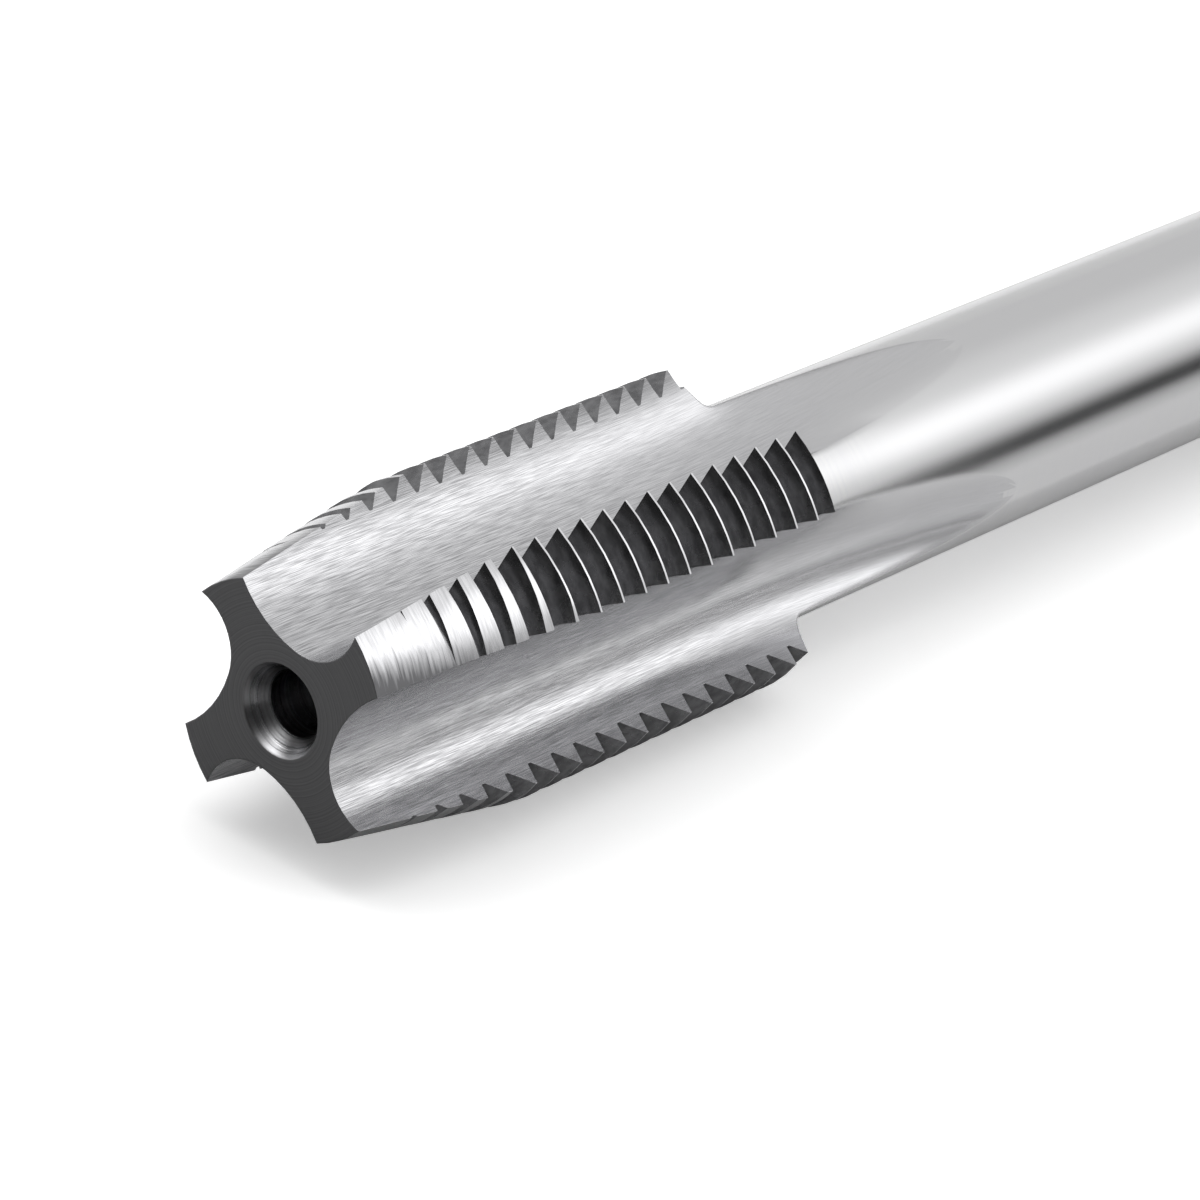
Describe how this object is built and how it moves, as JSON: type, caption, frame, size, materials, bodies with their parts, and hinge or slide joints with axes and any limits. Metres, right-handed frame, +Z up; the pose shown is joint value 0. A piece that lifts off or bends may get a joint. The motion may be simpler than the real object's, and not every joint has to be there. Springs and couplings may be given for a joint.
{
  "type": "thread tap",
  "caption": "Straight-flute hand tap with a tapered lead, threaded lands between deep flutes, a slimmer round shank and a square drive end.",
  "frame": {"origin": "on the surface that the tap lies on, below the middle of its length", "axes": "+X along the tap from the cutting tip to the square end, +Z up as the tap lies, +Y to its left seen from the tip"},
  "size_m": [0.09, 0.0088, 0.0089],
  "materials": {
    "ground_steel": "ground high-speed steel: flutes ground lengthways, thread and shank ground round"
  },
  "bodies": {
    "root": {"tap": "ground_steel"}
  },
  "joints": []
}
